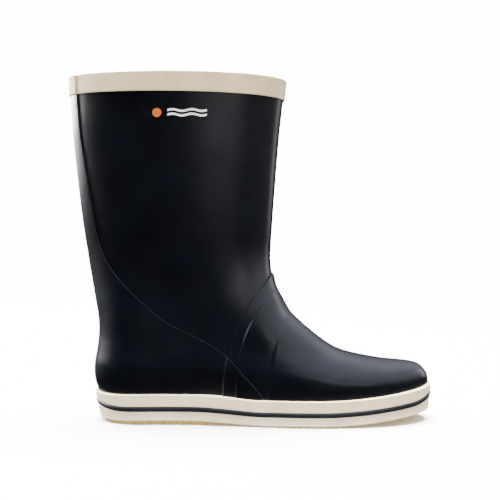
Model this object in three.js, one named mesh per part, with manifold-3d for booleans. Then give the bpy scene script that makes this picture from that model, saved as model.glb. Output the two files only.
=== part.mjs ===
// A deck boot for the right foot, laid up by hand from rubber sheets on a jersey lining.
// Millimetres. +X runs from heel to toe, -Y is the outer side of the foot and +Z is up.
// The origin is on the ground under the middle of the boot.
//
// Every sheet follows one skin, the outside of the lining. A place on the skin is named by
//   around: 0 at the back seam, a quarter turn on the outer side, a half turn at the front,
//   level:  0 at the bottom of the foxing, 1 at its top edge, 13 at the rim,
// and a layer is named by its distance out from the skin.
import * as THREE from 'three';
import { mergeVertices } from 'three/addons/utils/BufferGeometryUtils.js';
import Module from 'manifold-3d';

const wasm = await Module();
wasm.setup();

// ---- driving dimensions ----

const GAP = 0.4; // between two glued layers
const BEND = 0.2; // further room under the vamp, and more of it where two sheets bend over the ankle

const LINING = 1.0;
const LEG = 1.4;
const COUNTER = 1.1; // heel counter, in one piece with the back strip
const REINFORCEMENT = 0.5; // the first sheet under the vamp
const TOE_PATCH = 0.5; // the second sheet under the vamp
const VAMP = 1.1;
const CUFF = 1.0;
const TAPE = 0.5;
const FOXING = 2.3;
const PIPING = 2.9; // stands proud of the foxing on either side of it

const TOE_SPRING = 11; // the sole's rise at the toe
const SPRING_START = 60; // x where that rise begins
const HEEL_ROLL = 2; // the sole's rise at the back of the heel
const ROLL_START = -112;
const SOLE_FRONT = 161;
const SOLE_BACK = -139;

const OUTSOLE = 5; // from the ground to the top of the gum rubber
const TREAD_PITCH = 6;
const TREAD_DEPTH = 1.6;
const TREAD_GROOVE = 1.8;
const ARCH_FROM = -38; // the sole is hollowed here, between heel and forefoot
const ARCH_TO = -2;
const ARCH_DEPTH = 2.3;

const FILLER = 2.6;
const HEEL_LIFT = 5;
const BOARD = 1.8;
const FOAM = 3.6;
const COVER = 0.9;

// Levels: the uppers' lower edge, the piping's edges, the tops of the three vamp sheets, the cuff.
const LOW = 0.24;
const PIPING_FROM = 0.36;
const PIPING_TO = 0.53;
const TOE_PATCH_TOP = 6.8;
const REINFORCEMENT_TOP = 7.9;
const VAMP_TOP = 8.55;
const CUFF_BOTTOM = 12.58;
const RIM = 13;

const { smoothstep, clamp, lerp } = THREE.MathUtils;

function soleRise(x) {
  const toe = clamp((x - SPRING_START) / (SOLE_FRONT - SPRING_START), 0, 1.2);
  const heel = clamp((ROLL_START - x) / (ROLL_START - SOLE_BACK), 0, 1.2);
  return TOE_SPRING * toe ** 1.8 + HEEL_ROLL * heel ** 2;
}

const forefoot = (x) => smoothstep(x, -40, 12);
const foxingBottom = (x) => soleRise(x) + lerp(3.5, 1.3, forefoot(x));
const foxingTop = (x) => soleRise(x) + lerp(26.2, 22.8, forefoot(x));

// Side view of the skin, one pair of points for each level: [x, z].
const BACK_LINE = [
  [-127.2, 4.4], [-132.3, foxingTop(-132.3)], [-135.2, 38], [-135.4, 50], [-133.3, 62.5], [-131.8, 76],
  [-132.1, 91], [-134.9, 108], [-138.4, 128], [-142.4, 152], [-146.9, 181], [-151.2, 218], [-155.3, 258],
  [-157.8, 304],
];
const FRONT_LINE = [
  [151.4, 10.3], [154, foxingTop(154)], [152, 40.6], [143.4, 45.6], [112, 49.1], [76.3, 57.9], [49, 76],
  [31.5, 94], [20.9, 116.5], [16.6, 140.5], [17.8, 167], [20.6, 206], [24.4, 252], [29.9, 301],
];

// Half breadth of the foot's outline at six places from heel to toe, over that of a unit ellipse.
const OUTER_BREADTH = [62, 37.5, 35, 45.5, 54.5, 62];
const INNER_BREADTH = [62, 37, 32.5, 43, 55.5, 62];
const TOE_SWING = 4; // the toe points this far to the inner side

// Half breadth of the leg at each level, and how far the foot swells over its outline there.
const LEG_BREADTH = [33, 33, 33, 33, 33, 33, 33.2, 33.6, 34.4, 35.6, 37.2, 39.2, 41.3, 43];
const SWELL = [0.99, 1, 1.05, 1.06, 1.05, 1.03, 1.02, 1.01, 1, 1, 1, 1, 1, 1];
const LEG_SKEW = 0.25; // the leg is fuller towards its front
const LEG_BLEND = [5.5, 10]; // levels between which the foot's section turns into the leg's
const ARCH_POWER = 2.6; // squareness of the vamp's arch
const TOE_END = 158; // where the arch of the vamp would close

// Edges of the outer sheets in side view: [x, z], from the sole upwards.
const COUNTER_EDGE = [
  [12.4, 14], [11.5, 25.7], [3.7, 36.2], [-5.4, 45], [-17.7, 57.4], [-30.6, 67], [-45.5, 75], [-76, 90.7],
  [-107.4, 119.4], [-120.6, 135.9], [-127.5, 149], [-132.9, 165], [-136.3, 184.7], [-143.2, 228.6],
  [-147, 255], [-149.6, 286], [-150.2, 304],
];
const VAMP_EDGE = [
  [-22, 14], [-21.6, 26.6], [-20.1, 44.7], [-16.5, 64.1], [-13.5, 78.5], [-8.6, 89.3], [0, 105], [10, 118.3],
  [15.6, 127], [18, 132.5],
];
const REINFORCEMENT_EDGE = [
  [-9.9, 14], [-9.7, 26.9], [-9.1, 35.4], [-7.9, 51.1], [-4.9, 66.8], [0, 81.1], [7.4, 95.3], [14.9, 107.1],
  [19.5, 116],
];
const TOE_PATCH_EDGE = [
  [18.6, 14], [19, 26], [19.3, 34], [21.1, 50.6], [22.4, 63.4], [25.8, 78.3], [30.6, 88.5], [33, 92],
];

// ---- the skin ----

const line = (points) => new THREE.SplineCurve(points.map(([x, y]) => new THREE.Vector2(x, y)));
const backLine = line(BACK_LINE);
const frontLine = line(FRONT_LINE);

// A smooth function through evenly spaced values, over 0 to 1.
function track(values) {
  const curve = line(values.map((value, i) => [i, value]));
  return (t) => curve.getPoint(t).y;
}
const outerBreadth = track(OUTER_BREADTH);
const innerBreadth = track(INNER_BREADTH);
const legBreadth = track(LEG_BREADTH);
const swell = track(SWELL);

// The value between low and high at which a rising function passes zero.
function solve(rising, low, high) {
  for (let i = 0; i < 40; i += 1) {
    const middle = (low + high) / 2;
    if (rising(middle) < 0) low = middle;
    else high = middle;
  }
  return (low + high) / 2;
}

const ANKLE = 9; // the level of the crease in front of the ankle
const SLOPE_BEHIND_ANKLE = 6; // slope at which the vamp's line is carried on inside the leg
const anklePoint = frontLine.getPoint(ANKLE / RIM);

// Height of the vamp's centre line above x.
function vampHeight(x) {
  if (x <= anklePoint.x) return anklePoint.y + SLOPE_BEHIND_ANKLE * (anklePoint.x - x);
  const level = solve((l) => x - frontLine.getPoint(l / RIM).x, 1, ANKLE);
  return frontLine.getPoint(level / RIM).y;
}

// Share of the way from the back line to the front line. Columns crowd together at both ends.
const turn = (around) => around - 0.12 * Math.sin(2 * around);
const shareAt = (around) => (1 - Math.cos(turn(around))) / 2;
const aroundAt = (share) => solve((a) => shareAt(a) - share, 0, Math.PI);

const footBack = backLine.getPoint(1 / RIM);
const footFront = frontLine.getPoint(1 / RIM);

// The piping climbs a little round the heel and round the toe: this much of the foxing's height.
const PIPING_CLIMB = 0.2;
const ends = (share) => Math.max(0, 1 - share / 0.09) ** 2 + Math.max(0, 1 - (1 - share) / 0.06) ** 2;

// A point of the side view: where the loop of that level has gone a share of its way forward.
function sidePoint(share, level) {
  if (level <= 1) {
    const height = level + 4 * PIPING_CLIMB * ends(share) * level * (1 - level);
    const backX = lerp(BACK_LINE[0][0], footBack.x, height);
    const frontX = lerp(FRONT_LINE[0][0], footFront.x, height);
    const x = lerp(backX, frontX, share);
    return [x, lerp(foxingBottom(x), foxingTop(x), height), backX, frontX];
  }
  const back = backLine.getPoint(level / RIM);
  const front = frontLine.getPoint(level / RIM);
  const x = lerp(back.x, front.x, share);
  const footX = lerp(footBack.x, footFront.x, share);
  const sag = foxingTop(footX) - lerp(footBack.y, footFront.y, share);
  const fade = level < 5 ? (1 + Math.cos((Math.PI * (level - 1)) / 4)) / 2 : 0;
  return [x, lerp(back.y, front.y, share) + fade * sag, back.x, front.x];
}

function skinPoint(around, level) {
  const share = shareAt(around);
  const [x, z, backX, frontX] = sidePoint(share, level);
  const side = Math.sin(turn(around)) >= 0 ? 1 : -1;

  // Low down each level is a whole outline of the foot; higher up it is a line across the vamp's arch.
  const breadthAt = side > 0 ? outerBreadth : innerBreadth;
  const ellipse = (part) => 2 * Math.sqrt(part * (1 - part)) * breadthAt(part);
  const footShare = clamp((x - backX) / (footFront.x - backX), 0, 1);
  let foot = ellipse(level <= 1 ? share : footShare);
  if (level > 1) {
    const floor = foxingTop(x);
    const height = clamp((z - floor) / Math.max(vampHeight(x) - floor, 0.01), 0, 1);
    const arched = ellipse((x - backX) / (TOE_END - backX)) * Math.sqrt(1 - height ** ARCH_POWER);
    const whole = ellipse(share) * lerp(1, 0.9, (level - 1) / 2);
    foot = lerp(whole, arched, smoothstep(level, 1.2, 3.2));
  }
  foot *= side * swell(level / RIM);
  const leg = Math.sin(turn(around)) * legBreadth(level / RIM) * (1 + LEG_SKEW * (share - 0.5));
  const blend = smoothstep(level, ...LEG_BLEND);
  const swing = TOE_SWING * footShare ** 4 * (1 - blend);
  return new THREE.Vector3(x, swing - lerp(foot, leg, blend), z);
}

function layerPoint(around, level, distance) {
  const step = 0.002;
  const up = skinPoint(around, Math.min(level + step, RIM)).sub(skinPoint(around, Math.max(level - step, 0)));
  const along = skinPoint(around + step, level).sub(skinPoint(around - step, level));
  const out = along.cross(up).normalize();
  return skinPoint(around, level).addScaledVector(out, distance);
}

// ---- edges and the beds that the layers lie on ----

// The share at which an edge crosses each level.
function edgeTrack(points) {
  const curve = line(points);
  const crossings = [];
  for (let i = 0; i <= 80; i += 1) {
    const { x, y: z } = curve.getPoint(i / 80);
    const shareOf = (level) => {
      const [, , backX, frontX] = sidePoint(0, level);
      return clamp((x - backX) / (frontX - backX), 0, 1);
    };
    const level = solve((l) => sidePoint(shareOf(l), l)[1] - z, 0, RIM);
    crossings.push([level, shareOf(level)]);
  }
  return (level) => {
    if (level <= crossings[0][0]) return crossings[0][1];
    const next = crossings.findIndex(([l]) => l > level);
    if (next < 0) return crossings[crossings.length - 1][1];
    const [l0, s0] = crossings[next - 1];
    const [l1, s1] = crossings[next];
    return lerp(s0, s1, (level - l0) / (l1 - l0));
  };
}
const counterEdge = edgeTrack(COUNTER_EDGE);
const vampEdge = edgeTrack(VAMP_EDGE);
const reinforcementEdge = edgeTrack(REINFORCEMENT_EDGE);
const toePatchEdge = edgeTrack(TOE_PATCH_EDGE);

const span = (level) => frontLine.getPoint(level / RIM).x - backLine.getPoint(level / RIM).x;

// The place along a level that lies some millimetres in front of an edge, on the outer side.
const near = (edge, ahead = 0) => (level) =>
  aroundAt(clamp(edge(level) + ahead / span(level), 0.001, 0.9999));

// A sheet climbs over the edge of the one below it: 0 behind the climb, 1 from the edge on.
const CLIMB_FROM = -5.5; // ahead of the edge, in mm
const CLIMB_TO = -2.2;
function climbed(around, level, edge, top) {
  const past = (shareAt(around) - edge(level)) * span(level);
  return smoothstep(past, CLIMB_FROM, CLIMB_TO) * (1 - smoothstep(level, top, top + 0.25));
}

const OVER_LEG = GAP + LEG + GAP;
const bendRoom = (level) => BEND + 3 * BEND * smoothstep(level, 4.8, 6.3);
const overReinforcement = (a, l) =>
  (bendRoom(l) + REINFORCEMENT + GAP) * climbed(a, l, reinforcementEdge, REINFORCEMENT_TOP);
const vampBed = (a, l) =>
  OVER_LEG + BEND + overReinforcement(a, l) + (TOE_PATCH + GAP) * climbed(a, l, toePatchEdge, TOE_PATCH_TOP);
const counterBed = (a, l) =>
  OVER_LEG + overReinforcement(a, l) + (BEND + VAMP + GAP) * climbed(a, l, vampEdge, VAMP_TOP);

// The cuff starts beside the back strip, runs round the front and ends on top of the strip.
function cuffBed(a, l) {
  const past = (shareAt(a) - counterEdge(l)) * span(l);
  const onStrip = a < Math.PI ? 0 : a > 2 * Math.PI ? 1 : 1 - smoothstep(past, 0.5, 4);
  return OVER_LEG + (COUNTER + GAP) * onStrip;
}

// The foxing bears on the counter at the heel, on counter and vamp at the waist, then on the vamp.
const FOXING_STOPS = [0.28, 0.366, 0.507, 0.525];
function foxingBed(a) {
  const [rise, risen, fall, fallen] = FOXING_STOPS;
  const heel = OVER_LEG + COUNTER + GAP;
  const onVamp = 2 * BEND + REINFORCEMENT + GAP + VAMP + GAP;
  return heel + onVamp * smoothstep(shareAt(a), rise, risen) - 0.6 * smoothstep(shareAt(a), fall, fallen);
}

// ---- sheets ----

const steps = (from, to, count) => Array.from({ length: count + 1 }, (_, i) => lerp(from, to, i / count));

// Places from the first stop to the last, each stop with the number of columns that lead up to it.
// Columns are never closer together than this.
const CLOSEST = 0.014;
function columnsThrough(level, start, stops) {
  const places = [start(level)];
  for (const [stop, count] of stops) {
    places.push(...steps(places[places.length - 1], stop(level), count).slice(1));
  }
  for (let i = places.length - 2; i >= 0; i -= 1) {
    places[i] = Math.min(places[i], places[i + 1] - CLOSEST);
  }
  return places;
}

const across = (side) => [...side, ...side.slice(0, -1).reverse().map((a) => 2 * Math.PI - a)];
const atFront = () => Math.PI;
const atBack = () => 0;

// A closed sheet on its bed. Each row is a level with the places of its columns.
function sheet(levels, columns, bed, thickness) {
  const positions = [];
  const indices = [];
  const rows = levels.length;
  const width = columns(levels[0]).length;
  for (const depth of [0, thickness]) {
    for (const level of levels) {
      for (const a of columns(level)) {
        positions.push(...layerPoint(a, level, bed(a, level) + depth).toArray());
      }
    }
  }
  const at = (layer, r, c) => (layer * rows + r) * width + c;
  const quad = (a, b, c, d) => indices.push(a, b, c, a, c, d);
  const last = width - 1;
  for (let r = 0; r < rows - 1; r += 1) {
    for (let c = 0; c < last; c += 1) {
      quad(at(1, r, c), at(1, r, c + 1), at(1, r + 1, c + 1), at(1, r + 1, c));
      quad(at(0, r, c), at(0, r + 1, c), at(0, r + 1, c + 1), at(0, r, c + 1));
    }
    quad(at(0, r, 0), at(1, r, 0), at(1, r + 1, 0), at(0, r + 1, 0));
    quad(at(0, r, last), at(0, r + 1, last), at(1, r + 1, last), at(1, r, last));
  }
  for (let c = 0; c < last; c += 1) {
    quad(at(0, 0, c), at(0, 0, c + 1), at(1, 0, c + 1), at(1, 0, c));
    quad(at(0, rows - 1, c), at(1, rows - 1, c), at(1, rows - 1, c + 1), at(0, rows - 1, c + 1));
  }
  const geometry = new THREE.BufferGeometry();
  geometry.setAttribute('position', new THREE.Float32BufferAttribute(positions, 3));
  geometry.setIndex(indices);
  return geometry;
}

// Columns all the way round, with a thin butt joint at the back seam.
const ROUND = 40;
const BUTT = 0.012;
function allRound() {
  const places = steps(0, 2 * Math.PI, ROUND);
  places[0] += BUTT;
  places[ROUND] -= BUTT;
  return places;
}

// ---- plates under the foot ----

// A closed geometry as a manifold-3d solid, and back.
function toSolid(geometry) {
  const bare = geometry.index ? geometry.toNonIndexed() : geometry.clone();
  for (const name of Object.keys(bare.attributes)) if (name !== 'position') bare.deleteAttribute(name);
  const merged = mergeVertices(bare, 1e-4);
  const mesh = new wasm.Mesh({
    numProp: 3,
    vertProperties: merged.attributes.position.array,
    triVerts: new Uint32Array(merged.index.array),
  });
  return new wasm.Manifold(mesh);
}
function toGeometry(solid) {
  const { vertProperties, triVerts } = solid.getMesh();
  const geometry = new THREE.BufferGeometry();
  geometry.setAttribute('position', new THREE.BufferAttribute(new Float32Array(vertProperties), 3));
  geometry.setIndex(new THREE.BufferAttribute(new Uint32Array(triVerts), 1));
  return geometry;
}

// A sheet pressed flat against the ones below it, wherever its facets would cut into theirs.
function pressedOn(geometry, ...below) {
  const cut = below.reduce((solid, other) => solid.subtract(toSolid(other)), toSolid(geometry));
  return toGeometry(cut.decompose().sort((a, b) => b.volume() - a.volume())[0]);
}

// The foot's outline at a level, seen from above.
function outline(places, level, distance) {
  return places.map((a) => layerPoint(a, level, distance(a))).map(({ x, y }) => new THREE.Vector2(x, y));
}

// A plate cut out of a prism of the outline by a side profile, a list of [x, z].
const TALL = 60;
const WIDE = 160;
function plate(plan, profile) {
  const prism = new THREE.ExtrudeGeometry(new THREE.Shape(plan), { depth: TALL, bevelEnabled: false });
  prism.translate(0, 0, -TALL / 2);
  const sideShape = new THREE.Shape(profile.map(([x, z]) => new THREE.Vector2(x, z)));
  const side = new THREE.ExtrudeGeometry(sideShape, { depth: WIDE, bevelEnabled: false });
  side.translate(0, 0, -WIDE / 2);
  side.rotateX(Math.PI / 2);
  return toGeometry(toSolid(prism).intersect(toSolid(side)));
}

// A side profile between two heights over the sole's line.
const PLATE_STEPS = steps(-142, 166, 22);
function between(bottom, top, until = SOLE_FRONT + 5) {
  const xs = PLATE_STEPS.filter((x) => x <= until);
  const at = (height) => (x) => [x, soleRise(x) + height(x)];
  return [...xs.map(at(bottom)), ...xs.reverse().map(at(top))];
}

// The gum rubber's profile: a comb of tread ribs, hollowed under the arch of the foot.
function treadProfile() {
  const bottom = [];
  const ribs = (from, to) => {
    for (let start = from; start + TREAD_PITCH <= to; start += TREAD_PITCH) {
      const end = start + TREAD_PITCH - TREAD_GROOVE;
      const floor = soleRise((start + end) / 2);
      bottom.push([start, floor], [end, floor]);
      bottom.push([end + 0.3, floor + TREAD_DEPTH], [start + TREAD_PITCH - 0.3, floor + TREAD_DEPTH]);
    }
  };
  ribs(ARCH_FROM - 18 * TREAD_PITCH, ARCH_FROM);
  bottom.push([ARCH_FROM + 3, ARCH_DEPTH], [ARCH_TO - 6, ARCH_DEPTH - 0.6]);
  ribs(ARCH_TO, SOLE_FRONT + 6);
  const top = PLATE_STEPS.map((x) => [x, soleRise(x) + OUTSOLE]).reverse();
  return [...bottom, ...top];
}

const fillerTop = OUTSOLE + GAP + FILLER;
const lift = (x) => (HEEL_LIFT + GAP) * (1 - smoothstep(x, -62, 22));
const boardBottom = (x) => fillerTop + GAP + lift(x);
const boardTop = (x) => boardBottom(x) + BOARD;
const foamBottom = (x) => boardTop(x) + GAP;
const foamTop = (x) => foamBottom(x) + FOAM;
const coverBottom = (x) => foamTop(x) + GAP;

// ---- the printed mark ----

const MARK_X = -79; // centre of the disc, on the outer side of the leg
const MARK_Z = 267.5;
const INK = 0.25;

// The place on the outer side that is seen at x, z.
function outerPlace(x, z) {
  const shareOf = (level) => {
    const [, , backX, frontX] = sidePoint(0, level);
    return (x - backX) / (frontX - backX);
  };
  const level = solve((l) => sidePoint(shareOf(l), l)[1] - z, 5, RIM);
  return [aroundAt(shareOf(level)), level];
}

// A flat shape given as it is seen from the side, laid on the leg.
function print(shape) {
  const flat = new THREE.ExtrudeGeometry(shape, { depth: INK, bevelEnabled: false, curveSegments: 8 });
  const position = flat.getAttribute('position');
  for (let i = 0; i < position.count; i += 1) {
    const [around, level] = outerPlace(position.getX(i), position.getY(i));
    const laid = layerPoint(around, level, OVER_LEG + position.getZ(i));
    position.setXYZ(i, laid.x, laid.y, laid.z);
  }
  return flat;
}
function disc(radius) {
  const shape = new THREE.Shape();
  shape.absarc(MARK_X, MARK_Z, radius, 0, 2 * Math.PI);
  return shape;
}
const WAVE_STEPS = 12;
const WAVE_LENGTH = 33;
function wave(offset) {
  const rim = (side) => (i) => {
    const crest = 0.8 * Math.sin((i / WAVE_STEPS) * 4 * Math.PI);
    const x = MARK_X + 9 + (i / WAVE_STEPS) * WAVE_LENGTH;
    return new THREE.Vector2(x, MARK_Z + offset + crest + side);
  };
  const ticks = steps(0, WAVE_STEPS, WAVE_STEPS);
  return new THREE.Shape([...ticks.map(rim(-0.9)), ...ticks.reverse().map(rim(0.9))]);
}

// ---- the boot ----

const NAVY = 0x10151f;
const CREAM = 0xe6ddcd;
const GUM = 0xc79a4e;
const KNIT = 0x6d7480;
const boot = new THREE.Group();

function add(name, color, geometry) {
  const mesh = new THREE.Mesh(geometry, new THREE.MeshStandardMaterial({ color, roughness: 0.6 }));
  mesh.name = name;
  boot.add(mesh);
}

const FOOT_ROWS = [LOW, 1, 1.5, 2, 2.5, 3, 3.6, 4.2, 4.8, 5.3, 5.8, 6.3, TOE_PATCH_TOP];
const INSTEP_ROWS = [TOE_PATCH_TOP + 0.3, 7.5, REINFORCEMENT_TOP];
const LEG_ROWS = [VAMP_TOP, 9.2, 10.5, 12, RIM];
const ALL_ROWS = [...FOOT_ROWS, ...INSTEP_ROWS, ...LEG_ROWS];

add('lining', KNIT, sheet(ALL_ROWS, allRound, () => -LINING, LINING));
const tapeColumns = () => steps(-2 * Math.PI / ROUND, 2 * Math.PI / ROUND, 2);
add('lining_seam_tape', KNIT,
  sheet(ALL_ROWS.slice(2), tapeColumns, () => -LINING - GAP - TAPE, TAPE));
const leg = sheet(ALL_ROWS, allRound, () => GAP, LEG);
add('leg', NAVY, leg);

const reinforcementColumns = (l) =>
  across(columnsThrough(l, near(reinforcementEdge), [[near(toePatchEdge), 4], [atFront, 12]]));
const overLeg = (level) => OVER_LEG + BEND + bendRoom(level);
const reinforcement = pressedOn(
  sheet([...FOOT_ROWS, ...INSTEP_ROWS], reinforcementColumns, (a, l) => overLeg(l), REINFORCEMENT), leg);
add('instep_reinforcement', NAVY, reinforcement);

const toePatchColumns = (l) => across(columnsThrough(l, near(toePatchEdge), [[atFront, 12]]));
add('toe_patch', NAVY,
  sheet(FOOT_ROWS, toePatchColumns, (a, l) => overLeg(l) + REINFORCEMENT + GAP, TOE_PATCH));

const over = (edge, count) => [[near(edge, CLIMB_FROM), count], [near(edge, CLIMB_TO), 1]];
const vampStops = [...over(reinforcementEdge, 3), ...over(toePatchEdge, 3), [atFront, 12]];
const vampColumns = (l) => across(columnsThrough(l, near(vampEdge), vampStops));
const vampRows = [...FOOT_ROWS, ...INSTEP_ROWS, REINFORCEMENT_TOP + 0.25, VAMP_TOP];
const vamp = pressedOn(sheet(vampRows, vampColumns, vampBed, VAMP), leg, reinforcement);
add('vamp', NAVY, vamp);

const counterStops = [...over(vampEdge, 12), ...over(reinforcementEdge, 1), [near(counterEdge), 1]];
const counterSide = (l) => columnsThrough(l, atBack, counterStops);
const counterColumns = (l) => [...counterSide(l).slice(1).reverse().map((a) => -a), ...counterSide(l)];
const counter = pressedOn(sheet(ALL_ROWS, counterColumns, counterBed, COUNTER), leg, vamp);
add('heel_counter', NAVY, counter);

const cuffColumns = (l) => {
  const edge = (ahead) => near(counterEdge, ahead)(l);
  return columnsThrough(l, () => edge(0.5), [
    [atFront, 16], [() => 2 * Math.PI - edge(4), 14], [() => 2 * Math.PI - edge(0.5), 1],
    [() => 2 * Math.PI, 3], [() => 2 * Math.PI + edge(0.1), 3],
  ]);
};
add('cuff_band', CREAM, sheet([CUFF_BOTTOM, RIM], cuffColumns, cuffBed, CUFF));

// A foxing strip is laid once round the sole. Its two ends meet at a joint on the outer side.
const stripColumns = (jointX) => (l) => {
  const joint = aroundAt((jointX - footBack.x) / (footFront.x - footBack.x));
  const [rise, risen, fall, fallen] = FOXING_STOPS.map((share) => () => aroundAt(share));
  const mirrored = (stop) => () => 2 * Math.PI - stop();
  const again = (stop) => () => 2 * Math.PI + stop();
  return columnsThrough(l, () => joint + 0.001, [
    [atFront, 14], [mirrored(fallen), 14], [mirrored(fall), 1], [mirrored(risen), 4], [mirrored(rise), 6],
    [again(atBack), 10], [again(rise), 10], [again(risen), 6], [again(fall), 3], [again(fallen), 1],
    [() => 2 * Math.PI + joint - 0.001, 1],
  ]);
};
const strip = (from, to, thickness, jointX) =>
  sheet([from, to], (l) => stripColumns(jointX(l))(l), foxingBed, thickness);
const SEAM = 0.016; // the joint between two strips, in levels
add('foxing_upper', CREAM,
  strip(PIPING_TO + SEAM, 1, FOXING, (l) => 24 - 8 * (l - PIPING_TO) / (1 - PIPING_TO)));
add('foxing_piping', NAVY, strip(PIPING_FROM, PIPING_TO, PIPING, () => 25));
add('foxing_lower', CREAM, strip(0, PIPING_FROM - SEAM, FOXING, () => 27));

const insideFoxing = outline(stripColumns(25)(0).slice(0, -1), 0, (a) => foxingBed(a) - GAP);
add('outsole', GUM, plate(insideFoxing, treadProfile()));
const round = steps(0, 2 * Math.PI, ROUND).slice(0, -1);
const inside = (level) => outline(round, level, () => -LINING - GAP);
const flat = (height) => () => height;
add('sole_filler', GUM, plate(inside(0.05), between(flat(OUTSOLE + GAP), flat(fillerTop))));
add('heel_lift', NAVY, plate(inside(0.05), between(flat(fillerTop + GAP), (x) => fillerTop + lift(x), -8)));
add('insole_board', KNIT, plate(inside(0.1), between(boardBottom, boardTop)));
add('footbed_foam', CREAM, plate(inside(0.2), between(foamBottom, foamTop)));
add('footbed_cover', KNIT, plate(inside(0.3), between(coverBottom, (x) => coverBottom(x) + COVER)));

add('print_disc', 0xd2622a, print(disc(3.9)));
add('print_wave_upper', 0xf2efe8, print(wave(1.9)));
add('print_wave_lower', 0xf2efe8, print(wave(-1.9)));

export default boot;
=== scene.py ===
"""The deck boot's looks: fine sheets laid on the same skin as the CAD solids, and their materials."""
import math

import bpy
import numpy as np
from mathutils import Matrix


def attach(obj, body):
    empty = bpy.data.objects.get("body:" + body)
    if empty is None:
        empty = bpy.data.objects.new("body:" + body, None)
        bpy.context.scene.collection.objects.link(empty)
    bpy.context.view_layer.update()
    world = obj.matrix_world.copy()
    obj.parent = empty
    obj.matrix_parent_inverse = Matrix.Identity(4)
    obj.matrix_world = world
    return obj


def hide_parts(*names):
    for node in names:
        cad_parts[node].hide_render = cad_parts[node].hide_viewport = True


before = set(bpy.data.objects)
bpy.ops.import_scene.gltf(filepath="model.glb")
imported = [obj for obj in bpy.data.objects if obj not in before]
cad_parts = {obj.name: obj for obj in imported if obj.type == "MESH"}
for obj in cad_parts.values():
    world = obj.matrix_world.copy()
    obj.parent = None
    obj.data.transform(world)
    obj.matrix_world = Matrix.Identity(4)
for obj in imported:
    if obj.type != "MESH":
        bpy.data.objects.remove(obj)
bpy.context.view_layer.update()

# ---- the dimensions of the CAD part, in mm ----

GAP, BEND = 0.4, 0.2
LINING, LEG, COUNTER, REINFORCEMENT, TOE_PATCH, VAMP = 1.0, 1.4, 1.1, 0.5, 0.5, 1.1
CUFF, TAPE, FOXING, PIPING = 1.0, 0.5, 2.3, 2.9
OVER_LEG = GAP + LEG + GAP
LOW, PIPING_FROM, PIPING_TO, SEAM = 0.24, 0.36, 0.53, 0.016
TOE_PATCH_TOP, REINFORCEMENT_TOP, VAMP_TOP, CUFF_BOTTOM, RIM = 6.8, 7.9, 8.55, 12.58, 13.0
SOLE_FRONT, SOLE_BACK, SPRING_START, ROLL_START = 161, -139, 60, -112
TOE_SPRING, HEEL_ROLL = 11, 2
OUTSOLE, TREAD_PITCH, TREAD_DEPTH, TREAD_GROOVE = 5, 6, 1.6, 1.8
ARCH_FROM, ARCH_TO, ARCH_DEPTH = -38, -2, 2.3


def smoothstep(x, low, high):
    t = np.clip((x - low) / (high - low), 0, 1)
    return t * t * (3 - 2 * t)


def lerp(a, b, t):
    return a + (b - a) * t


def sole_rise(x):
    toe = np.clip((x - SPRING_START) / (SOLE_FRONT - SPRING_START), 0, 1.2)
    heel = np.clip((ROLL_START - x) / (ROLL_START - SOLE_BACK), 0, 1.2)
    return TOE_SPRING * toe**1.8 + HEEL_ROLL * heel**2


def foxing_bottom(x):
    return sole_rise(x) + lerp(3.5, 1.3, smoothstep(x, -40, 12))


def foxing_top(x):
    return sole_rise(x) + lerp(26.2, 22.8, smoothstep(x, -40, 12))


BACK_LINE = [
    (-127.2, 4.4), (-132.3, foxing_top(-132.3)), (-135.2, 38), (-135.4, 50), (-133.3, 62.5), (-131.8, 76),
    (-132.1, 91), (-134.9, 108), (-138.4, 128), (-142.4, 152), (-146.9, 181), (-151.2, 218), (-155.3, 258),
    (-157.8, 304),
]
FRONT_LINE = [
    (151.4, 10.3), (154, foxing_top(154)), (152, 40.6), (143.4, 45.6), (112, 49.1), (76.3, 57.9), (49, 76),
    (31.5, 94), (20.9, 116.5), (16.6, 140.5), (17.8, 167), (20.6, 206), (24.4, 252), (29.9, 301),
]
OUTER_BREADTH = [62, 37.5, 35, 45.5, 54.5, 62]
INNER_BREADTH = [62, 37, 32.5, 43, 55.5, 62]
LEG_BREADTH = [33, 33, 33, 33, 33, 33, 33.2, 33.6, 34.4, 35.6, 37.2, 39.2, 41.3, 43]
SWELL = [0.99, 1, 1.05, 1.06, 1.05, 1.03, 1.02, 1.01, 1, 1, 1, 1, 1, 1]
TOE_SWING, TOE_END, LEG_SKEW, ARCH_POWER = 4, 158, 0.25, 2.6
COUNTER_EDGE = [
    (12.4, 14), (11.5, 25.7), (3.7, 36.2), (-5.4, 45), (-17.7, 57.4), (-30.6, 67), (-45.5, 75), (-76, 90.7),
    (-107.4, 119.4), (-120.6, 135.9), (-127.5, 149), (-132.9, 165), (-136.3, 184.7), (-143.2, 228.6),
    (-147, 255), (-149.6, 286), (-150.2, 304),
]
VAMP_EDGE = [
    (-22, 14), (-21.6, 26.6), (-20.1, 44.7), (-16.5, 64.1), (-13.5, 78.5), (-8.6, 89.3), (0, 105),
    (10, 118.3), (15.6, 127), (18, 132.5),
]
REINFORCEMENT_EDGE = [
    (-9.9, 14), (-9.7, 26.9), (-9.1, 35.4), (-7.9, 51.1), (-4.9, 66.8), (0, 81.1), (7.4, 95.3), (14.9, 107.1),
    (19.5, 116),
]
TOE_PATCH_EDGE = [
    (18.6, 14), (19, 26), (19.3, 34), (21.1, 50.6), (22.4, 63.4), (25.8, 78.3), (30.6, 88.5), (33, 92),
]


# ---- the skin that every sheet follows ----


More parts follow.
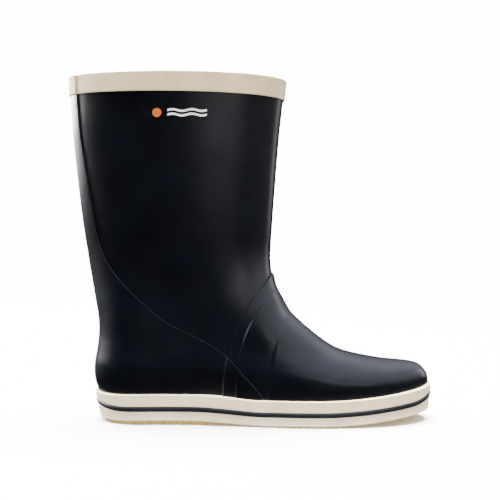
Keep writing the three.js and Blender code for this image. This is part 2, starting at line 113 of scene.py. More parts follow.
def spline(points):
    """A uniform Catmull-Rom curve through the points, over 0 to 1."""
    pts = np.array(points, float)
    last = len(pts) - 1

    def at(t):
        p = np.clip(np.asarray(t, float), 0, 1) * last
        i = np.minimum(p.astype(int), last - 1)
        w = (p - i)[..., None]
        p0, p1, p2, p3 = pts[np.maximum(i - 1, 0)], pts[i], pts[i + 1], pts[np.minimum(i + 2, last)]
        v0, v1 = (p2 - p0) / 2, (p3 - p1) / 2
        return (2 * p1 - 2 * p2 + v0 + v1) * w**3 + (3 * p2 - 3 * p1 - 2 * v0 - v1) * w**2 + v0 * w + p1

    return at


def track(values):
    curve = spline([(i, v) for i, v in enumerate(values)])
    return lambda t: curve(t)[..., 1]


back_line, front_line = spline(BACK_LINE), spline(FRONT_LINE)
outer_breadth, inner_breadth = track(OUTER_BREADTH), track(INNER_BREADTH)
leg_breadth, swell = track(LEG_BREADTH), track(SWELL)
foot_back, foot_front = BACK_LINE[1], FRONT_LINE[1]

ANKLE = 9
front_table = front_line(np.linspace(1, ANKLE, 1600)[::-1] / RIM)
ankle_x, ankle_z = front_table[0]


def ridge_height(x):
    in_front = np.interp(x, np.maximum.accumulate(front_table[:, 0]), front_table[:, 1])
    return np.where(x <= ankle_x, ankle_z + 6 * (ankle_x - x), in_front)


ridge_x = np.linspace(-170, 170, 1361)
rolled = sum(ridge_height(ridge_x + step) for step in np.linspace(-6, 6, 25)) / 25
ridge_z = lerp(rolled, ridge_height(ridge_x), smoothstep(ridge_x, 26, 40))  # only the ankle is rounded


def vamp_height(x):
    return np.interp(x, ridge_x, ridge_z)


def turn(around):
    return around - 0.12 * np.sin(2 * around)


def share_at(around):
    return (1 - np.cos(turn(around))) / 2


around_table = np.linspace(0, math.pi, 20001)
share_table = share_at(around_table)


def around_at(share):
    return np.interp(share, share_table, around_table)


def side_point(share, level):
    """x, z and the two ends' x of a loop of the skin, seen from the side."""
    ends = np.maximum(0, 1 - share / 0.09) ** 2 + np.maximum(0, 1 - (1 - share) / 0.06) ** 2
    height = level + 0.8 * ends * level * (1 - level)
    back, front = back_line(level / RIM), front_line(level / RIM)
    low = level <= 1
    back_x = np.where(low, lerp(BACK_LINE[0][0], foot_back[0], height), back[..., 0])
    front_x = np.where(low, lerp(FRONT_LINE[0][0], foot_front[0], height), front[..., 0])
    x = lerp(back_x, front_x, share)
    sag = foxing_top(lerp(foot_back[0], foot_front[0], share)) - lerp(foot_back[1], foot_front[1], share)
    fade = np.where(level < 5, (1 + np.cos(math.pi * (level - 1) / 4)) / 2, 0)
    high_z = lerp(back[..., 1], front[..., 1], share) + fade * sag
    return x, np.where(low, lerp(foxing_bottom(x), foxing_top(x), height), high_z), back_x, front_x


def skin(around, level):
    around, level = np.broadcast_arrays(np.asarray(around, float), np.asarray(level, float))
    share = share_at(around)
    x, z, back_x, front_x = side_point(share, level)
    side = np.where(np.sin(turn(around)) >= 0, 1.0, -1.0)

    def ellipse(part):
        part = np.clip(part, 0, 1)
        breadth = np.where(side > 0, outer_breadth(part), inner_breadth(part))
        return 2 * np.sqrt(part * (1 - part)) * breadth

    foot_share = np.clip((x - back_x) / (foot_front[0] - back_x), 0, 1)
    floor = foxing_top(x)
    height = np.clip((z - floor) / np.maximum(vamp_height(x) - floor, 0.01), 0, 1)
    arched = ellipse((x - back_x) / (TOE_END - back_x)) * np.sqrt(1 - height**ARCH_POWER)
    whole = ellipse(share) * lerp(1, 0.9, (level - 1) / 2)
    foot = np.where(level <= 1, ellipse(share), lerp(whole, arched, smoothstep(level, 1.2, 3.2)))
    foot = foot * side * swell(level / RIM)
    leg = np.sin(turn(around)) * leg_breadth(level / RIM) * (1 + LEG_SKEW * (share - 0.5))
    blend = smoothstep(level, 5.5, 10)
    swing = TOE_SWING * foot_share**4 * (1 - blend)
    return np.stack([x, swing - lerp(foot, leg, blend), z], -1)


def layer(around, level, distance):
    """Points at a distance out from the skin. Past the rim they go straight up.

    The toe's tip is so sharply curved that its slope is taken over a wider stretch.
    """
    step = 0.004
    around, level, distance = np.broadcast_arrays(around, level, distance)
    inside = np.minimum(level, RIM)
    up = skin(around, np.minimum(inside + step, RIM)) - skin(around, np.maximum(inside - step, 0))
    tip = np.exp(-(((around - math.pi) / 0.15) ** 2))
    reach = step + 0.12 * tip * smoothstep(level, 1, 1.6) * (1 - smoothstep(level, 4.5, 5.5))
    along = skin(around + reach, inside) - skin(around - reach, inside)
    out = np.cross(along, up)
    out /= np.maximum(np.linalg.norm(out, axis=-1, keepdims=True), 1e-9)
    points = skin(around, inside) + out * distance[..., None]
    points[..., 2] += (level - inside) * 43
    return points


def edge_track(points):
    """The share at which an edge, given in side view, crosses each level."""
    curve = spline(points)(np.linspace(0, 1, 161))
    levels = []
    for x, z in curve:
        low, high = 0.0, RIM
        for _ in range(40):
            level = (low + high) / 2
            _, _, b, f = side_point(np.array(0.0), np.array(level))
            here = side_point(np.clip((x - b) / (f - b), 0, 1), np.array(level))[1]
            low, high = (level, high) if here < z else (low, level)
        levels.append((level, float(np.clip((x - b) / (f - b), 0, 1))))
    table = np.array(levels)
    order = np.maximum.accumulate(table[:, 0])
    return lambda level: np.interp(level, order, table[:, 1])


counter_edge, vamp_edge = edge_track(COUNTER_EDGE), edge_track(VAMP_EDGE)
reinforcement_edge, toe_patch_edge = edge_track(REINFORCEMENT_EDGE), edge_track(TOE_PATCH_EDGE)


def span(level):
    return front_line(level / RIM)[..., 0] - back_line(level / RIM)[..., 0]


def past(around, level, edge):
    """Millimetres in front of an edge."""
    return (share_at(around) - edge(level)) * span(level)


def climbed(around, level, edge, top, start, end, fade=0.0):
    """How far a sheet has climbed, 0 to 1, onto the one that starts at an edge and stops at a top level."""
    rise = smoothstep(past(around, level, edge), start, end)
    return rise * (1 - smoothstep(level, top - fade, top + 0.22))


def bend_room(level):
    return BEND + 3 * BEND * smoothstep(level, 4.8, 6.3)


def over_reinforcement(a, l):
    step = bend_room(l) + REINFORCEMENT + GAP
    return step * climbed(a, l, reinforcement_edge, REINFORCEMENT_TOP, -3.2, -0.2, 0.4)


def vamp_bed(a, l):
    patch = (TOE_PATCH + GAP) * climbed(a, l, toe_patch_edge, TOE_PATCH_TOP, -3.2, 0.2, 0.5)
    return OVER_LEG + BEND + over_reinforcement(a, l) + patch


def counter_bed(a, l):
    on_vamp = (BEND + VAMP + GAP) * climbed(a, l, vamp_edge, VAMP_TOP, -2.8, -0.2)
    return OVER_LEG + over_reinforcement(a, l) + on_vamp


def cuff_bed(a, l):
    beside_strip = 1 - smoothstep(past(a, l, counter_edge), 0.5, 4)
    on_strip = np.where(a < math.pi, 0, np.where(a > 2 * math.pi, 1, beside_strip))
    return OVER_LEG + (COUNTER + GAP) * on_strip


def foxing_bed(a, l):
    share = share_at(a)
    on_vamp = 2 * BEND + REINFORCEMENT + GAP + VAMP + GAP
    heel = OVER_LEG + COUNTER + GAP
    return heel + on_vamp * smoothstep(share, 0.28, 0.366) - 0.6 * smoothstep(share, 0.507, 0.525)


# ---- meshes ----


def build(name, points, body, cad, uv=None, close=False, smooth=True):
    """A grid of points in mm, as one smooth piece that stands for a CAD node."""
    rows, cols = points.shape[:2]
    index = np.arange(rows * cols).reshape(rows, cols)
    if close:
        index = np.concatenate([index, index[:, :1]], 1)
    a, b, c, d = index[:-1, :-1], index[:-1, 1:], index[1:, 1:], index[1:, :-1]
    faces = np.stack([a, b, c, d], -1).reshape(-1, 4)
    mesh = bpy.data.meshes.new(name)
    mesh.from_pydata((points.reshape(-1, 3) / 1000).tolist(), [], faces.tolist())
    if uv is not None:
        layer_uv = mesh.uv_layers.new(name="cloth")
        layer_uv.data.foreach_set("uv", uv.reshape(-1, 2)[faces.reshape(-1)].reshape(-1))
    mesh.validate()
    if smooth:
        mesh.polygons.foreach_set("use_smooth", [True] * len(mesh.polygons))
    piece = bpy.data.objects.new(name, mesh)
    bpy.context.collection.objects.link(piece)
    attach(piece, body)
    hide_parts(cad)
    return piece


def metric_uv(points):
    """Arc lengths along and up a grid, in mm."""
    along = np.linalg.norm(np.diff(points, axis=1), axis=-1)
    up = np.linalg.norm(np.diff(points, axis=0), axis=-1)
    u = np.concatenate([np.zeros((len(points), 1)), np.cumsum(along, 1)], 1)
    v = np.concatenate([np.zeros((1, points.shape[1])), np.cumsum(up, 0)], 0)
    middle = points.shape[1] // 2
    return np.stack([u - u[:, middle : middle + 1], v], -1)


EDGE = np.array([0, 0.06, 0.16, 0.32, 0.55, 0.85])


def rounded(distance, radius):
    """Height of a rolled edge, 0 to 1, at a distance in from it."""
    t = np.clip(distance / radius, 0, 1)
    return np.sqrt(1 - (1 - t) ** 2)


def ahead(edge, mm=0.0):
    """The place along a level that lies some millimetres in front of an edge."""
    return lambda level: float(around_at(np.clip(edge(level) + mm / span(level), 0.001, 0.9999)))


CLOSEST = 0.0006  # columns are never closer together than this


def columns_through(level, first, stops, last):
    """Places from first to last by way of stops, each with the number of columns that lead up to it."""
    places = [first]
    still_to_come = sum(count for _, count in stops)
    for stop, count in stops:
        still_to_come -= count
        end = last if stop is None else stop(level)
        end = min(max(end, places[-1] + count * CLOSEST), last - still_to_come * CLOSEST)
        places.extend(np.linspace(places[-1], end, count + 1)[1:])
    return np.array(places)


def across_ridge(edge, before, lead):
    """Stops for a run of columns up to a ridge, then close ones over it."""
    return [(ahead(edge, before), lead), (ahead(edge, 0.5), 12)]


def between_edges(start, end, level, inner):
    """Places along one level, with close columns just inside both edges; and mm in from the nearer edge."""
    speed_at = lambda a: np.linalg.norm(skin(a + 0.002, level) - skin(a - 0.002, level)) / 0.004
    near_start, near_end = EDGE / speed_at(start), EDGE / speed_at(end)
    middle = inner(level, start + near_start[-1], end - near_end[-1])
    places = np.concatenate([start + near_start[:-1], middle, end - near_end[:-1][::-1]])
    inset = np.full(len(places), 9.0)
    inset[: len(EDGE)] = EDGE
    inset[-len(EDGE) :] = EDGE[::-1]
    return places, inset


def patch(levels, start, end, inner, bed, thickness, top_edge=None):
    """A sheet's outer face between two edges, its edges rolled down to the bed."""
    places, insets = [], []
    for level in levels:
        a, inset = between_edges(float(start(level)), float(end(level)), float(level), inner)
        places.append(a)
        insets.append(inset)
    around, inset = np.array(places), np.array(insets)
    level = np.repeat(np.asarray(levels)[:, None], around.shape[1], 1)
    if top_edge is not None:
        top, under = np.full_like(around, top_edge), np.full_like(around, top_edge - 0.05)
        step = np.linalg.norm(skin(around, top) - skin(around, under), axis=-1) / 0.05
        inset = np.minimum(inset, np.maximum(0, top_edge - level) * step)
    base = bed(around, level)
    distance = base - 0.15 + (thickness + 0.15) * rounded(inset, 0.8)
    return layer(around, level, distance)


def rows_up_to(low, high, count, step):
    """Levels from low to high, with close rows at the top, where a millimetre is this step in levels."""
    return np.concatenate([np.linspace(low, high - EDGE[-1] * step, count), high - EDGE[:-1][::-1] * step])


coarse = 1


def full_turn(levels, columns, distance):
    around = np.linspace(0, 2 * math.pi, columns + 1)[:-1]
    return layer(around[None, :], np.asarray(levels)[:, None], distance)


# ---- the sheets ----

TURN = 2 * math.pi

leg_rows = np.concatenate([
    np.linspace(LOW, 1, 4)[:-1], np.linspace(1, 9, 110 // coarse)[:-1], np.linspace(9, 12.98, 70 // coarse),
])
leg_points = full_turn(leg_rows, 260 // coarse, np.array(GAP + LEG))
leg = build("leg_sheet", leg_points, "boot", "leg", close=True)

plain = lambda columns: lambda level, low, high: np.linspace(low, high, columns)

vamp_start = ahead(vamp_edge)
vamp_stops = [
    *across_ridge(reinforcement_edge, -3.6, 14 // coarse), *across_ridge(toe_patch_edge, -3.6, 26 // coarse),
    (None, 96 // coarse),
]


def vamp_columns(level, low, high):
    half = columns_through(level, low, vamp_stops, math.pi)
    return np.concatenate([half, TURN - half[-2::-1]])


vamp_rows = rows_up_to(LOW, VAMP_TOP, 190 // coarse, 0.055)
vamp_end = lambda l: TURN - vamp_start(l)
vamp_points = patch(vamp_rows, vamp_start, vamp_end, vamp_columns, vamp_bed, VAMP, top_edge=VAMP_TOP)
vamp = build("vamp_sheet", vamp_points, "boot", "vamp")

counter_start = ahead(counter_edge)
counter_stops = [
    *across_ridge(vamp_edge, -3.2, 96 // coarse), *across_ridge(reinforcement_edge, -3.6, 6 // coarse),
    (None, 16 // coarse),
]


def counter_columns(level, low, high):
    half = columns_through(level, 0.0, counter_stops, high)
    return np.concatenate([-half[:0:-1], half])


counter_rows = np.concatenate([
    np.linspace(LOW, 7.5, 150 // coarse)[:-1], np.linspace(7.5, 12.95, 60 // coarse),
])
counter_back = lambda l: -counter_start(l)
counter_points = patch(counter_rows, counter_back, counter_start, counter_columns, counter_bed, COUNTER)
counter = build("counter_sheet", counter_points, "boot", "heel_counter")


def swept(profile, around, bed):
    """A profile of (level, distance over the bed) carried along a strip."""
    level, over = np.array(profile).T[:, :, None]
    a, l = np.broadcast_arrays(around[None, :], level)
    return a, l, over + bed(a, np.minimum(l, RIM))


def arc(level, distance, radius_level, radius_mm, start, end, count=5):
    """Part of a rounded corner of a profile; angles in degrees from straight out, towards the rim."""
    angles = np.radians(np.linspace(start, end, count))
    return [(level + radius_level * math.sin(t), distance + radius_mm * math.cos(t)) for t in angles]


mm_level = 1 / 43  # one millimetre of the cuff, in levels
cuff_profile = [(CUFF_BOTTOM + 0.3 * mm_level, -0.15)]
cuff_profile += arc(CUFF_BOTTOM + 0.6 * mm_level, CUFF - 0.6, 0.6 * mm_level, 0.6, -90, 0)
cuff_profile += [(l, CUFF) for l in np.linspace(CUFF_BOTTOM + 1.5 * mm_level, RIM - 1.2 * mm_level, 10)]
cuff_profile += arc(RIM - 0.6 * mm_level, CUFF - 0.9, 0.9 * mm_level, 0.9, 0, 80)
start = float(counter_start(12.8)) - 0.4 / 30
end = TURN + float(counter_start(12.8))
cuff_around = between_edges(start, end, 12.8, plain(320 // coarse))
a, l, d = swept(cuff_profile, cuff_around[0], cuff_bed)
d = d - (CUFF + 0.1) * (1 - rounded(cuff_around[1], 0.8))[None, :]
over_rim = np.array([
    (RIM + 0.35 * mm_level, 0.0), (RIM + 0.2 * mm_level, -LINING + 0.1), (RIM - 2 * mm_level, -LINING - 0.12),
])
a = np.concatenate([a, np.repeat(a[:1], 3, 0)])
l = np.concatenate([l, np.repeat(over_rim[:, :1], a.shape[1], 1)])
d = np.concatenate([d, np.repeat(over_rim[:, 1:], a.shape[1], 1)])
cuff_points = layer(a, l, d)
cuff = build("cuff", cuff_points, "boot", "cuff_band", uv=metric_uv(cuff_points))


def strip(name, cad, low, high, thickness, joint_x, edge, ridge=0.0):
    """A foxing strip once round the sole; its ends meet at a joint that may slant."""
    height = np.linalg.norm(skin(1.0, high) - skin(1.0, low))
    mm = (high - low) / height
    profile = [(low, -0.6)]
    profile += arc(low + edge * mm, thickness - edge, edge * mm, edge, -90, 0)
    inner = np.linspace(low + (edge + 0.2) * mm, high - (edge + 0.2) * mm, 15)
    for level in inner:
        in_from = min(level - low, high - level) / mm
        profile.append((level, thickness + ridge * math.exp(-(((in_from - 1.1) / 0.45) ** 2))))
    profile += arc(high - edge * mm, thickness - edge, edge * mm, edge, 0, 90)
    profile += [(high, None)]
    rows = []
    for level, over in profile:
        joint = float(around_at((joint_x(level) - foot_back[0]) / (foot_front[0] - foot_back[0])))
        around, inset = between_edges(joint, joint + TURN, 0.6, plain(420 // coarse))
        drop = (1 - rounded(inset, 0.5)) * 0.7
        bed = foxing_bed(around, level)
        distance = np.minimum(bed, OVER_LEG + COUNTER) - 0.6 if over is None else bed + over - drop
        rows.append((around, np.full_like(around, level), distance))
    a, l, d = (np.array(part) for part in zip(*rows))
    points = layer(a, l, d)
    return build(name, points, "boot", cad, uv=metric_uv(points))


slanted = lambda l: 24 - 8 * (l - PIPING_TO) / (1 - PIPING_TO)
foxing_upper = strip(
    "foxing_top_strip", "foxing_upper", PIPING_TO + SEAM / 2, 1, FOXING, slanted, edge=0.7,
)
piping = strip(
    "piping_strip", "foxing_piping", PIPING_FROM, PIPING_TO, PIPING, lambda l: 25, edge=1.1,
)
foxing_lower = strip(
    "foxing_low_strip", "foxing_lower", 0, PIPING_FROM - SEAM / 2, FOXING, lambda l: 27,
    edge=0.6, ridge=0.3,
)

lining_rows = np.concatenate([np.linspace(LOW, 9, 110 // coarse)[:-1], np.linspace(9, RIM, 60 // coarse)])
lining_points = full_turn(lining_rows, 240 // coarse, np.array(-LINING))
lining = build("lining_sheet", np.flip(lining_points, 1), "boot", "lining", close=True)

# ---- the sole ----


def outline_width(side, xs, distance, level=0.0):
    """The y of the foot's outline, at a distance out from the skin, over x."""
    around = np.linspace(0.0, math.pi, 3000)
    around = around if side < 0 else TURN - around
    points = layer(around, np.full_like(around, level), distance(around))
    order = np.maximum.accumulate(points[:, 0])
    return np.interp(xs, order, points[:, 1])


def sole_distance(a):
    return foxing_bed(a, 0) - GAP


def tread_stations():
    """Places along the sole with how far each lies above the ground: ribs, the arch, then ribs again."""
    stations = []

    def ribs(first, last, count):
        for i in range(count):
            begin = first + i * TREAD_PITCH
            stop = begin + TREAD_PITCH - TREAD_GROOVE
            after = begin + TREAD_PITCH
            if after > last + 0.01:
                return
            stations.extend([
                (begin + 0.25, 0.0), (stop - 0.25, 0.0), (stop, 0.25), (stop + 0.25, TREAD_DEPTH),
                (after - 0.25, TREAD_DEPTH), (after, 0.25),
            ])

    ribs(ARCH_FROM - 18 * TREAD_PITCH, ARCH_FROM, 18)
    for x in np.linspace(ARCH_FROM + 3, ARCH_TO - 5, 8):
        stations.append((x, ARCH_DEPTH - 0.5 * abs((x + 22) / 18)))
    ribs(ARCH_TO, SOLE_FRONT + 6, 30)
    return stations


stations = tread_stations()
sole_around = np.linspace(0.0, math.pi, 3000)
sole_edge = layer(sole_around, np.zeros_like(sole_around), sole_distance(sole_around))
back_end, front_end = sole_edge[0, 0] + 0.05, sole_edge[-1, 0] - 0.05
kept = [(x, h) for x, h in stations if back_end < x < front_end]
kept = [(back_end, 0.6)] + kept + [(front_end, 0.6)]
xs, hollow = np.array([k[0] for k in kept]), np.array([k[1] for k in kept])
outer_y, inner_y = outline_width(-1, xs, sole_distance), outline_width(1, xs, sole_distance)
across = np.linspace(0, 1, 41)
y = lerp(outer_y[:, None], inner_y[:, None], across[None, :])
off_sides = 1 - np.abs(2 * across[None, :] - 1) ** 6
off_ends = np.clip(np.minimum(xs - back_end, front_end - xs) / 14, 0, 1)[:, None]
x = xs[:, None] + 1.5 * np.sin(y * (TURN / 26)) * off_sides * off_ends
bottom = np.stack([x, y, sole_rise(xs)[:, None] + hollow[:, None] + 0 * y], -1)
top_edge = lambda k: np.stack([xs, y[:, k], sole_rise(xs) + OUTSOLE], -1)[:, None, :]
sole_points = np.concatenate([top_edge(0), bottom, top_edge(-1)], 1)
sole = build("outsole_tread", sole_points, "boot", "outsole", smooth=False)

# ---- the footbed, and the tape on the lining's seam ----

FILLER, HEEL_LIFT, BOARD, FOAM, COVER = 2.6, 5, 1.8, 3.6, 0.9


def foam_bottom(x):
    lift = (HEEL_LIFT + GAP) * (1 - smoothstep(x, -62, 22))
    return sole_rise(x) + OUTSOLE + GAP + FILLER + GAP + lift + BOARD + GAP


def bed_slab(name, cad, level, bottom, thickness, round_edge):
    """A slab as wide as the foot at a level, with rolled upper edges and a dish under heel and ball."""
    distance = lambda a: 0 * a - LINING - GAP
    ends = layer(np.array([0.0, math.pi]), np.full(2, level), np.full(2, -LINING - GAP))[:, 0]
    t = np.linspace(0, 1, 90 // coarse)
    xs = lerp(ends[0] + 0.1, ends[1] - 0.1, (1 - np.cos(math.pi * t)) / 2)
    outer, inner = outline_width(-1, xs, distance, level), outline_width(1, xs, distance, level)
    s = np.sin(np.linspace(-math.pi / 2, math.pi / 2, 33))
    y = lerp(outer[:, None], inner[:, None], (s[None, :] + 1) / 2)
    from_side = np.minimum(y - outer[:, None], inner[:, None] - y)
    from_edge = np.minimum(from_side, np.minimum(xs - ends[0], ends[1] - xs)[:, None])
    worn = 0.2 * np.sin(xs / 9)[:, None] * np.sin(y / 7) * smoothstep(from_edge, 2, 12)
    dish = 0.5 * smoothstep(from_edge, 4, 22) + worn
    low = bottom(xs)[:, None]
    upper = low + thickness - dish - round_edge * (1 - rounded(from_edge, 2 * round_edge))
    lower = np.minimum(low + 0 * y, upper - 0.1)
    x = np.repeat(xs[:, None], len(s), 1)
    under, over = np.stack([x, y, lower], -1), np.stack([x, y, upper], -1)[:, ::-1]
    return build(name, np.concatenate([under, over], 1), "footbed", cad, close=True)


foam_top = lambda x: foam_bottom(x) + FOAM
foam_piece = bed_slab("footbed_foam_body", "footbed_foam", 0.2, foam_bottom, FOAM, 0.4)
cover_piece = bed_slab("footbed_cloth", "footbed_cover", 0.3, foam_top, GAP + COVER, 0.6)

tape_around = np.linspace(-TURN / 40, TURN / 40, 25)
tape_rows = np.concatenate([np.linspace(1.5, 9, 90 // coarse)[:-1], np.linspace(9, RIM, 50 // coarse)])
tape_inset = np.minimum(tape_around - tape_around[0], tape_around[-1] - tape_around) * 40
tape_rise = GAP * 0.4 + (TAPE + GAP * 0.6) * rounded(tape_inset, 0.8)
tape_points = layer(tape_around[None, :], tape_rows[:, None], -LINING - tape_rise[None, :])
tape = build("seam_tape", np.flip(tape_points, 1), "boot", "lining_seam_tape")

# ---- materials ----


def material(name, color, roughness, specular=0.5, sheen=0.0):
    mat = bpy.data.materials.new(name)
    mat.use_nodes = True
    shader = mat.node_tree.nodes["Principled BSDF"]
    shader.inputs["Base Color"].default_value = (*color, 1)
    shader.inputs["Roughness"].default_value = roughness
    shader.inputs["Specular IOR Level"].default_value = specular
    shader.inputs["Sheen Weight"].default_value = sheen
    shader.inputs["Sheen Roughness"].default_value = 0.6
    return mat


class Nodes:
    """Short-hand for the nodes of one material."""

    def __init__(self, mat):
        self.tree = mat.node_tree
        self.shader = self.tree.nodes["Principled BSDF"]
        self.object = self.tree.nodes.new("ShaderNodeTexCoord").outputs["Object"]

    def new(self, kind, **settings):
        node = self.tree.nodes.new(kind)
        for key, value in settings.items():
            setattr(node, key, value)
        return node

    def join(self, source, target):
        self.tree.links.new(source, target)

    def noise(self, scale, detail):
        node = self.new("ShaderNodeTexNoise")
        node.inputs["Scale"].default_value = scale
        node.inputs["Detail"].default_value = detail
        self.join(self.object, node.inputs["Vector"])
        return node.outputs["Fac"]

    def tint(self, source, low, dark, high, light):
        """The base colour runs from dark to light as the source runs from low to high."""
        node = self.new("ShaderNodeValToRGB")
        for element, position, color in zip(node.color_ramp.elements, (low, high), (dark, light)):
            element.position = position
            element.color = (*color, 1)
        self.join(source, node.inputs["Fac"])
        self.join(node.outputs["Color"], self.shader.inputs["Base Color"])

    def math(self, operation, a, b=None):
        node = self.new("ShaderNodeMath", operation=operation)
        for socket, value in zip(node.inputs, (a, b)):
            if value is None:
                continue
            if isinstance(value, (int, float)):
                socket.default_value = value
            else:
                self.join(value, socket)
        return node.outputs[0]

    def between(self, source, low, high, to_low, to_high):
        node = self.new("ShaderNodeMapRange")
        limits = {"From Min": low, "From Max": high, "To Min": to_low, "To Max": to_high}
        for key, value in limits.items():
            node.inputs[key].default_value = value
        self.join(source, node.inputs["Value"])
        return node.outputs["Result"]

    def bump(self, height, depth, strength=1.0, under=None):
        node = self.new("ShaderNodeBump")
        node.inputs["Distance"].default_value = depth
        node.inputs["Strength"].default_value = strength
        self.join(height, node.inputs["Height"])
        if under is not None:
            self.join(under, node.inputs["Normal"])
        self.join(node.outputs["Normal"], self.shader.inputs["Normal"])
        return node.outputs["Normal"]

    def uv(self):
        node = self.new("ShaderNodeUVMap", uv_map="cloth")
        split = self.new("ShaderNodeSeparateXYZ")
        self.join(node.outputs["UV"], split.inputs["Vector"])
        return split.outputs["X"], split.outputs["Y"]


def rubber(name, dark, light, rough_low, rough_high):
    mat = material(name, dark, rough_low)
    n = Nodes(mat)
    n.tint(n.noise(26, 4), 0.35, dark, 0.7, light)
    n.join(n.between(n.noise(34, 5), 0.3, 0.7, rough_low, rough_high), n.shader.inputs["Roughness"])
    soft = n.bump(n.noise(22, 2), 0.0016, 0.35)
    n.bump(n.noise(1400, 2), 0.00004, 0.5, soft)
    return mat


navy = rubber("navy_rubber", (0.0010, 0.0014, 0.0034), (0.0018, 0.0026, 0.0058), 0.28, 0.36)
piping_navy = rubber("piping_rubber", (0.006, 0.008, 0.012), (0.009, 0.012, 0.017), 0.42, 0.52)
inner_black = rubber("inner_rubber", (0.006, 0.006, 0.007), (0.010, 0.010, 0.011), 0.5, 0.6)


def knurled(name, dark, light, pitch, depth):
    """Cream rubber pressed with fine diagonal lines, pitch in mm, with painted shade in the grooves."""
    mat = material(name, light, 0.55)
    n = Nodes(mat)
    u, v = n.uv()
    k = TURN / (pitch * math.sqrt(2))
    lines = n.math("SINE", n.math("MULTIPLY", n.math("ADD", u, v), k))
    counter_lines = n.math("SINE", n.math("MULTIPLY", n.math("SUBTRACT", u, v), k))
    height = n.math("ADD", counter_lines, n.math("MULTIPLY", lines, 0.35))
    # The colour is random mottling, darker in the grooves of the pressed lines: painted shade.
    mottle_and_painted_shade = n.math("ADD", n.math("MULTIPLY", height, 0.10), n.noise(60, 4))
    n.tint(mottle_and_painted_shade, 0.25, dark, 0.7, light)
    n.join(n.between(n.noise(45, 3), 0.3, 0.7, 0.5, 0.66), n.shader.inputs["Roughness"])
    n.bump(height, depth, 0.8)
    return mat


cuff_cream = knurled("cuff_rubber", (0.50, 0.375, 0.205), (0.64, 0.50, 0.30), 1.5, 0.00012)
foxing_cream = knurled("foxing_rubber", (0.72, 0.57, 0.35), (0.86, 0.71, 0.46), 1.3, 0.00008)

smooth_cream = material("foxing_smooth", (0.80, 0.67, 0.46), 0.5)
n = Nodes(smooth_cream)
n.tint(n.noise(55, 4), 0.3, (0.70, 0.57, 0.38), 0.7, (0.84, 0.71, 0.49))
n.bump(n.noise(700, 3), 0.00005, 0.5)

gum = material("gum_rubber", (0.49, 0.33, 0.08), 0.55)
n = Nodes(gum)
n.tint(n.noise(90, 5), 0.3, (0.42, 0.27, 0.055), 0.7, (0.56, 0.38, 0.11))
n.bump(n.noise(900, 3), 0.00006, 0.6)


def knit(name, dark, light, pitch):
    """Jersey, its wales a pitch apart, from the object's own axes, with painted shade in the hollows between
    wales and rows.
    """
    mat = material(name, light, 0.9, specular=0.2, sheen=0.35)
    n = Nodes(mat)
    split = n.new("ShaderNodeSeparateXYZ")
    n.join(n.object, split.inputs["Vector"])
    k = TURN / (pitch / 1000)
    wales = n.math("SINE", n.math("MULTIPLY", split.outputs["X"], k))
    rows = n.math("SINE", n.math("MULTIPLY", n.math("ADD", split.outputs["Z"], split.outputs["Y"]), k * 0.8))
    height = n.math("ADD", n.math("MULTIPLY", n.math("ABSOLUTE", wales), 0.6), n.math("MULTIPLY", rows, 0.4))
    # The colour is random mottling, darker in the hollows between wales and rows: painted shade.
    mottle_and_painted_shade = n.math("ADD", n.math("MULTIPLY", height, 0.3), n.math("MULTIPLY", n.noise(420, 4), 0.5))
    n.tint(mottle_and_painted_shade, 0.12, dark, 0.6, light)
    n.bump(height, 0.00022, 0.7)
    return mat


jersey = knit("lining_jersey", (0.10, 0.11, 0.13), (0.25, 0.27, 0.30), 1.7)
footbed_knit = knit("footbed_cover", (0.02, 0.025, 0.04), (0.06, 0.07, 0.10), 1.4)
seam_cloth = knit("seam_cloth", (0.16, 0.17, 0.19), (0.32, 0.34, 0.37), 1.1)
foam = material("footbed_foam", (0.62, 0.60, 0.52), 0.85)
n = Nodes(foam)
n.bump(n.noise(1500, 2), 0.0002, 0.6)
board = material("insole_board", (0.34, 0.25, 0.15), 0.85)
n = Nodes(board)
n.tint(n.noise(300, 5), 0.3, (0.26, 0.19, 0.11), 0.7, (0.40, 0.30, 0.19))
sponge = material("sole_filler", (0.05, 0.043, 0.036), 0.9)
n = Nodes(sponge)
n.bump(n.noise(1200, 2), 0.0003, 0.7)
orange_ink = material("orange_ink", (0.42, 0.08, 0.0), 0.42)
n = Nodes(orange_ink)
n.tint(n.noise(500, 4), 0.3, (0.38, 0.07, 0.0), 0.7, (0.46, 0.095, 0.0))
white_ink = material("white_ink", (0.72, 0.72, 0.70), 0.45)
n = Nodes(white_ink)
n.tint(n.noise(500, 4), 0.3, (0.62, 0.62, 0.60), 0.7, (0.78, 0.78, 0.76))


def paint(piece, mat):
    piece.data.materials.clear()
    piece.data.materials.append(mat)


for piece in (leg, vamp, counter):
    paint(piece, navy)
paint(foam_piece, foam)
paint(cover_piece, footbed_knit)
paint(tape, seam_cloth)
paint(cuff, cuff_cream)
paint(foxing_upper, foxing_cream)
paint(foxing_lower, smooth_cream)
paint(piping, piping_navy)
paint(sole, gum)
paint(lining, jersey)

cad_finish = {
    "instep_reinforcement": inner_black, "toe_patch": inner_black, "sole_filler": sponge, "heel_lift": sponge,
    "insole_board": board, "print_disc": orange_ink, "print_wave_upper": white_ink,
    "print_wave_lower": white_ink,
}
for node, mat in cad_finish.items():
    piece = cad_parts[node]
    if not piece.material_slots:
        piece.data.materials.append(mat)
    for material_slot in piece.material_slots:
        material_slot.link = "OBJECT"
        material_slot.material = mat

# ---- floor, light and camera ----

bpy.ops.mesh.primitive_plane_add(size=60, location=(0, 26, 0))
floor = bpy.context.object
floor.name = "floor"
floor.visible_glossy = False
floor.visible_diffuse = False
paint(floor, material("floor_paper", (0.88, 0.88, 0.88), 0.9, specular=0.0))

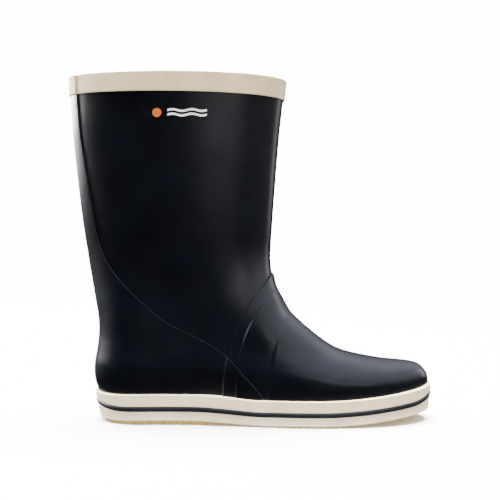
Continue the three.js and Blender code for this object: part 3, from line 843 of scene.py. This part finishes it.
# A white room that gives soft light all round. In the rubber's gloss only its ceiling shows.
world = bpy.data.worlds.new("studio")
bpy.context.scene.world = world
world.use_nodes = True
tree = world.node_tree
paths = tree.nodes.new("ShaderNodeLightPath")
room = tree.nodes["Background"]
room.inputs["Strength"].default_value = 1.5
backdrop = tree.nodes.new("ShaderNodeBackground")
backdrop.inputs["Strength"].default_value = 16.0
ceiling = tree.nodes.new("ShaderNodeBackground")
direction = tree.nodes.new("ShaderNodeSeparateXYZ")
tree.links.new(tree.nodes.new("ShaderNodeTexCoord").outputs["Generated"], direction.inputs["Vector"])
height = tree.nodes.new("ShaderNodeMapRange")
height.interpolation_type = "SMOOTHSTEP"
for key, value in (("From Min", 0.22), ("From Max", 0.85), ("To Min", 0.01), ("To Max", 1.5)):
    height.inputs[key].default_value = value
along, tilt = tree.nodes.new("ShaderNodeMath"), tree.nodes.new("ShaderNodeMath")
along.operation, tilt.operation = "MULTIPLY", "ADD"
along.inputs[1].default_value = 0.35
tree.links.new(direction.outputs["X"], along.inputs[0])
tree.links.new(along.outputs[0], tilt.inputs[0])
tree.links.new(direction.outputs["Z"], tilt.inputs[1])
tree.links.new(tilt.outputs[0], height.inputs["Value"])
tree.links.new(height.outputs["Result"], ceiling.inputs["Strength"])
mix_glossy, mix_camera = tree.nodes.new("ShaderNodeMixShader"), tree.nodes.new("ShaderNodeMixShader")
for ray, mix, first, second in (
    ("Is Glossy Ray", mix_glossy, room, ceiling),
    ("Is Camera Ray", mix_camera, mix_glossy, backdrop),
):
    tree.links.new(paths.outputs[ray], mix.inputs[0])
    tree.links.new(first.outputs[0], mix.inputs[1])
    tree.links.new(second.outputs[0], mix.inputs[2])
for shade in (room, backdrop, ceiling):
    shade.inputs["Color"].default_value = (1, 1, 1, 1)
tree.links.new(mix_camera.outputs[0], tree.nodes["World Output"].inputs["Surface"])


def softbox(name, location, target, size, power, in_gloss=True):
    data = bpy.data.lights.new(name, "AREA")
    data.shape = "RECTANGLE"
    data.size, data.size_y = size
    data.energy = power
    lamp = bpy.data.objects.new(name, data)
    bpy.context.collection.objects.link(lamp)
    lamp.location = location
    lamp.visible_glossy = in_gloss
    lamp.visible_camera = False
    aim = np.array(target) - np.array(location)
    lamp.rotation_euler = (math.acos(-aim[2] / np.linalg.norm(aim)), 0, math.atan2(aim[0], -aim[1]) + math.pi)


softbox("front_fill", (0.3, -2.2, 0.9), (0, 0, 0.1), (2.0, 1.2), 26, in_gloss=False)
softbox("strip_left", (-1.3, 0.85, 0.78), (0, 0, 0.2), (1.1, 0.8), 150)
softbox("side_left", (-1.7, 0.0, 0.75), (0, 0, 0.2), (0.4, 0.9), 5)
softbox("toe_line", (0.5, -1.4, 0.42), (0.12, 0, 0.03), (0.9, 0.07), 1.6)
softbox("rim_right", (1.4, 0.9, 0.5), (0, 0, 0.2), (0.4, 0.9), 2.5)

# The even light from above that whitens the floor and leaves a soft shadow close to the sole.
sky_data = bpy.data.lights.new("overhead", "SUN")
sky_data.energy = 48
sky_data.angle = math.radians(45)
sky = bpy.data.objects.new("overhead", sky_data)
bpy.context.collection.objects.link(sky)
sky.rotation_euler = (math.radians(-5), 0, 0)
sky.visible_glossy = False

camera_data = bpy.data.cameras.new("camera")
camera_data.lens = 68.3
camera_data.sensor_width = 36
camera_data.clip_start = 0.01
camera = bpy.data.objects.new("camera", camera_data)
bpy.context.collection.objects.link(camera)
camera.location = (0.0, -0.85, 0.1504)
camera.rotation_euler = (math.pi / 2, 0, 0)
bpy.context.scene.camera = camera
